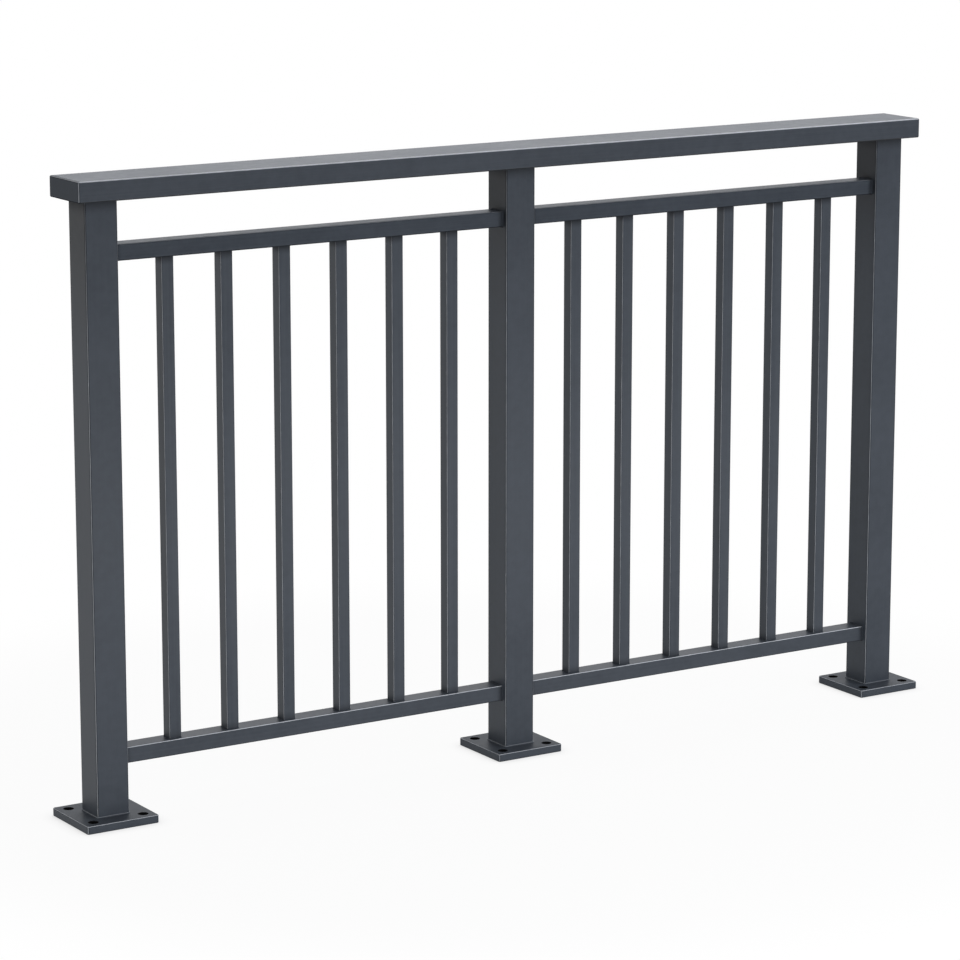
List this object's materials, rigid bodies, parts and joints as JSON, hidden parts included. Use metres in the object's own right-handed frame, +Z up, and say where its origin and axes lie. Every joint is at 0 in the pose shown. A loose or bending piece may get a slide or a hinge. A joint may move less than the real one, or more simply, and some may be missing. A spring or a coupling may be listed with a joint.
{
  "type": "aluminium balcony railing",
  "caption": "Free-standing run of balcony railing: square posts on drilled base plates, a flat handrail on top, and upright bars between an upper and a lower rail.",
  "frame": {"origin": "centre of the middle base plate's underside, on the floor that the railing is bolted to", "axes": "+X along the railing to the right seen from the front, +Y across it to the back, +Z up"},
  "size_m": [1.775, 0.135, 1.1],
  "materials": {
    "frame_coat": "satin anthracite-grey powder coat on aluminium tube",
    "handrail_coat": "satin anthracite-grey powder coat on aluminium tube, slightly polished by hands on top",
    "plate_coat": "satin anthracite-grey powder coat on aluminium plate",
    "end_cap": "satin anthracite-grey powder coat on a cast aluminium cap"
  },
  "bodies": {
    "root": {"base_plate_left": "plate_coat", "base_plate_middle": "plate_coat", "base_plate_right": "plate_coat", "post_left": "frame_coat", "post_middle": "frame_coat", "post_right": "frame_coat", "handrail": "handrail_coat", "handrail_end_cap_left": "end_cap", "handrail_end_cap_right": "end_cap", "upper_rail_left": "frame_coat", "lower_rail_left": "frame_coat", "upper_rail_right": "frame_coat", "lower_rail_right": "frame_coat", "baluster_left_1": "frame_coat", "baluster_left_2": "frame_coat", "baluster_left_3": "frame_coat", "baluster_left_4": "frame_coat", "baluster_left_5": "frame_coat", "baluster_left_6": "frame_coat", "baluster_right_1": "frame_coat", "baluster_right_2": "frame_coat", "baluster_right_3": "frame_coat", "baluster_right_4": "frame_coat", "baluster_right_5": "frame_coat", "baluster_right_6": "frame_coat"}
  },
  "joints": []
}
